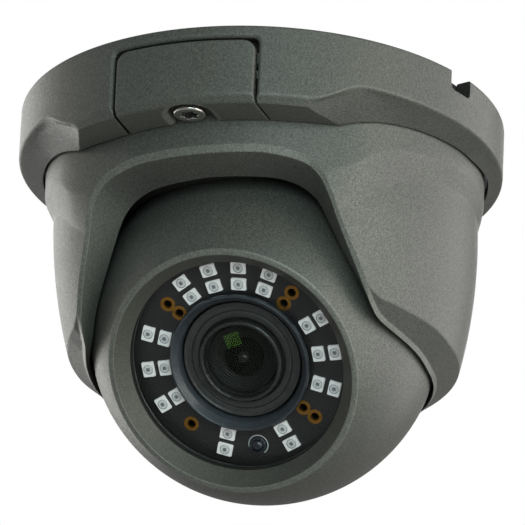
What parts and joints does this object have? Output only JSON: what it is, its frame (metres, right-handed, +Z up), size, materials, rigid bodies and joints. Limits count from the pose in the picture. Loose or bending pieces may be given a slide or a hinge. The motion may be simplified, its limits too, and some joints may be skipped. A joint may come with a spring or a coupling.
{
  "type": "turret security camera",
  "caption": "Ceiling turret camera: a ring with a sliding cable hatch, a hooded shroud, and a ball with a flat window over a lens and a ring of infrared emitters.",
  "frame": {"origin": "centre of the mounting face that meets the ceiling", "axes": "+Z up into the ceiling, -Y towards the side the lens faces, +X to the right seen from behind the camera"},
  "size_m": [0.12, 0.12, 0.0954],
  "materials": {
    "housing_paint": "satin speckled powder coat, dark grey-green",
    "inner_casting": "as-cast, lightly tumbled",
    "black_plastic": "fine moulded grain",
    "black_anodised": "black anodised, fine turning marks",
    "rubber": "matt with a soft sheen",
    "white_nylon": "natural nylon",
    "stainless": "bright stainless, turned",
    "clear_window": "polished, clear",
    "lens_glass": "coated, green reflection",
    "board_mask": "gloss black solder mask",
    "emitter_white": "moulded white package with a clear fill",
    "chip_black": "polished dark resin"
  },
  "bodies": {
    "base": {"mounting_base": "inner_casting", "cable_gland": "rubber", "camera_cable": "black_plastic"},
    "housing": {"base_ring": "housing_paint", "shroud": "housing_paint", "clamp_ring": "inner_casting", "friction_pad": "white_nylon", "pan_glide_ring": "white_nylon", "hatch_screw": "stainless", "pan_lock_screw": "stainless", "ring_screw_1": "stainless", "ring_screw_2": "stainless", "ring_screw_3": "stainless", "ring_screw_4": "stainless"},
    "hatch": {"hatch": "housing_paint"},
    "hub": {"swivel_hub": "inner_casting", "ball_cable": "black_plastic"},
    "ball": {"ball_front_shell": "housing_paint", "ball_rear_shell": "housing_paint", "seam_gasket": "rubber", "window": "clear_window", "window_gasket": "rubber", "led_board": "board_mask", "ir_led_01": "emitter_white", "ir_led_02": "emitter_white", "ir_led_03": "emitter_white", "ir_led_04": "emitter_white", "ir_led_05": "emitter_white", "ir_led_06": "emitter_white", "ir_led_07": "emitter_white", "ir_led_08": "emitter_white", "ir_led_09": "emitter_white", "ir_led_10": "emitter_white", "ir_led_11": "emitter_white", "ir_led_12": "emitter_white", "ir_led_13": "emitter_white", "ir_led_14": "emitter_white", "ir_led_15": "emitter_white", "ir_led_16": "emitter_white", "ir_led_17": "emitter_white", "ir_led_18": "emitter_white", "ir_led_19": "emitter_white", "ir_led_20": "emitter_white", "ir_led_21": "emitter_white", "ir_led_22": "emitter_white", "ir_led_23": "emitter_white", "ir_led_24": "emitter_white", "light_sensor": "chip_black", "lens_collar": "rubber", "lens_barrel": "black_anodised", "lens_mount": "black_plastic", "image_sensor": "chip_black", "sensor_board": "board_mask"},
    "focus": {"focus_ring": "black_anodised"},
    "front_cell": {"front_lens_cell": "black_anodised", "lens_retainer": "black_anodised", "front_lens": "lens_glass"},
    "zoom": {"zoom_ring": "black_anodised"},
    "rear_group": {"rear_lens_group": "lens_glass"},
    "ir_filter": {"ir_cut_filter": "lens_glass"}
  },
  "joints": [
    {"name": "pan", "type": "hinge", "parent": "base", "child": "housing", "pos_m": [0, 0, 0], "axis": [0, 0, 1], "range_deg": [-180, 180]},
    {"name": "hatch_slide", "type": "slide", "parent": "housing", "child": "hatch", "axis": [0, -1, 0], "range_m": [0, 0.014]},
    {"name": "tilt", "type": "hinge", "parent": "housing", "child": "hub", "pos_m": [0, 0.0084, -0.0521], "axis": [1, 0, 0], "range_deg": [-27, 48]},
    {"name": "turn", "type": "hinge", "parent": "hub", "child": "ball", "pos_m": [0, 0.0084, -0.0521], "axis": [0, -0.7431, -0.6691], "range_deg": [-175, 175]},
    {"name": "focus_turn", "type": "hinge", "parent": "ball", "child": "focus", "pos_m": [0, 0.0084, -0.0521], "axis": [0, -0.7431, -0.6691], "range_deg": [-60, 60]},
    {"name": "focus_slide", "type": "slide", "parent": "ball", "child": "front_cell", "axis": [0, -0.7431, -0.6691], "range_m": [-0.0013, 0.0013]},
    {"name": "zoom_turn", "type": "hinge", "parent": "ball", "child": "zoom", "pos_m": [0, 0.0084, -0.0521], "axis": [0, -0.7431, -0.6691], "range_deg": [-60, 60]},
    {"name": "zoom_slide", "type": "slide", "parent": "ball", "child": "rear_group", "axis": [0, -0.7431, -0.6691], "range_m": [-0.0032, 0.0032]},
    {"name": "filter_slide", "type": "slide", "parent": "ball", "child": "ir_filter", "axis": [1, 0, 0], "range_m": [0, 0.0068]}
  ],
  "couplings": [
    {"joint": "focus_slide", "follows": "focus_turn", "m_per_rad": 0.00115},
    {"joint": "zoom_slide", "follows": "zoom_turn", "m_per_rad": 0.00286}
  ]
}
